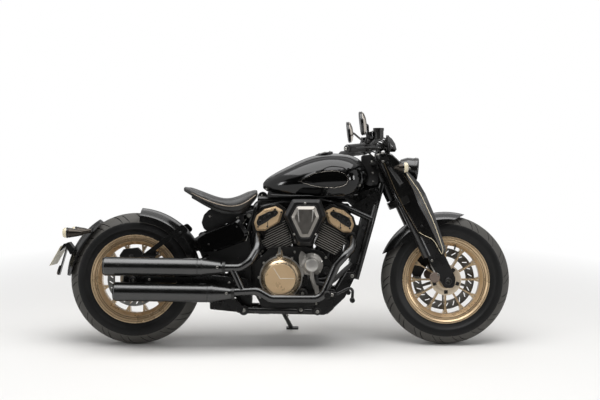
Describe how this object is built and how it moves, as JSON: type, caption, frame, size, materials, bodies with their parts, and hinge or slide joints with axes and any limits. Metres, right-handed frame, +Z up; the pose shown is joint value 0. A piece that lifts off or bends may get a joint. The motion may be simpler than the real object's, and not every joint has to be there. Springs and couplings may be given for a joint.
{
  "type": "cruiser motorcycle",
  "caption": "Low cruiser motorcycle with a V-twin engine, cast wheels, twin right-hand mufflers and a solo saddle, leaning on its side stand.",
  "frame": {"origin": "on the floor under the middle of the bounding box, with the machine parked on its side stand", "axes": "+X forward along the length, +Y to the rider's left, +Z up; the machine leans 8 degrees towards +Y"},
  "size_m": [2.2776, 0.8758, 1.1738],
  "materials": {
    "tyre_rubber": "moulded",
    "gold_wheel_paint": "painted satin",
    "disc_steel": "ground",
    "cast_grey": "cast",
    "cast_black": "painted satin",
    "fork_metal": "satin",
    "satin_black": "satin",
    "bare_steel": "turned",
    "grip_rubber": "moulded",
    "frame_black": "powder coat",
    "gold_cover_paint": "painted satin",
    "exhaust_black": "heat-proof satin",
    "brushed_cover": "brushed",
    "black_plastic": "moulded",
    "gloss_black": "gloss",
    "saddle_leather": "grained",
    "plate_sheet": "satin"
  },
  "bodies": {
    "chassis": {"frame_spine": "frame_black", "frame_downtubes": "frame_black", "swingarm": "frame_black", "rear_axle": "bare_steel", "crankcase": "cast_black", "cylinder_front": "cast_black", "cylinder_rear": "cast_black", "head_covers": "gold_cover_paint", "clutch_cover": "gold_cover_paint", "left_covers": "gold_cover_paint", "water_pump": "cast_grey", "oil_filter": "cast_black", "mufflers": "exhaust_black", "frame_cradle": "frame_black", "exhaust_headers": "exhaust_black", "air_filter_lid": "brushed_cover", "air_filter_housing": "black_plastic", "shock_absorber": "bare_steel", "radiator": "black_plastic", "engine_hanger": "frame_black", "fuel_tank": "gloss_black", "filler_cap": "gloss_black", "electrics_box": "black_plastic", "saddle": "saddle_leather", "saddle_pan": "black_plastic", "side_covers": "gloss_black", "inner_guards": "black_plastic", "rear_fender": "satin_black", "tail_fender": "satin_black", "tail_lamps": "satin_black", "plate_holder": "black_plastic", "number_plate": "plate_sheet", "foot_controls": "frame_black", "drive_belt": "grip_rubber", "rear_caliper": "cast_black"},
    "steering": {"fork_legs": "fork_metal", "fork_shrouds": "satin_black", "upper_yoke": "cast_black", "lower_yoke": "cast_black", "front_axle": "bare_steel", "handlebar": "satin_black", "grips": "grip_rubber", "hand_controls": "cast_black", "mirrors": "satin_black", "headlight": "satin_black", "front_indicators": "satin_black", "instrument": "satin_black", "front_fender": "satin_black", "front_caliper": "cast_black", "front_brake_hose": "grip_rubber"},
    "front_wheel": {"front_tyre": "tyre_rubber", "front_rim": "gold_wheel_paint", "front_disc": "disc_steel"},
    "rear_wheel": {"rear_tyre": "tyre_rubber", "rear_rim": "gold_wheel_paint", "rear_disc": "disc_steel", "rear_pulley": "cast_grey"},
    "stand": {"side_stand": "frame_black"}
  },
  "joints": [
    {"name": "steering_turn", "type": "hinge", "parent": "chassis", "child": "steering", "pos_m": [0.75724, -0.09573, 0.28913], "axis": [-0.4226, 0.1261, 0.8975], "range_deg": [-35, 35]},
    {"name": "front_wheel_spin", "type": "hinge", "parent": "steering", "child": "front_wheel", "pos_m": [0.81887, -0.09173, 0.31759], "axis": [0, 0.9903, -0.1392], "continuous": true},
    {"name": "rear_wheel_spin", "type": "hinge", "parent": "chassis", "child": "rear_wheel", "pos_m": [-0.72113, -0.0909, 0.32353], "axis": [0, 0.9903, -0.1392], "continuous": true},
    {"name": "side_stand_fold", "type": "hinge", "parent": "chassis", "child": "stand", "pos_m": [-0.01513, 0.04212, 0.16346], "axis": [0.1988, 0.7401, 0.6424], "range_deg": [0, 100]}
  ]
}
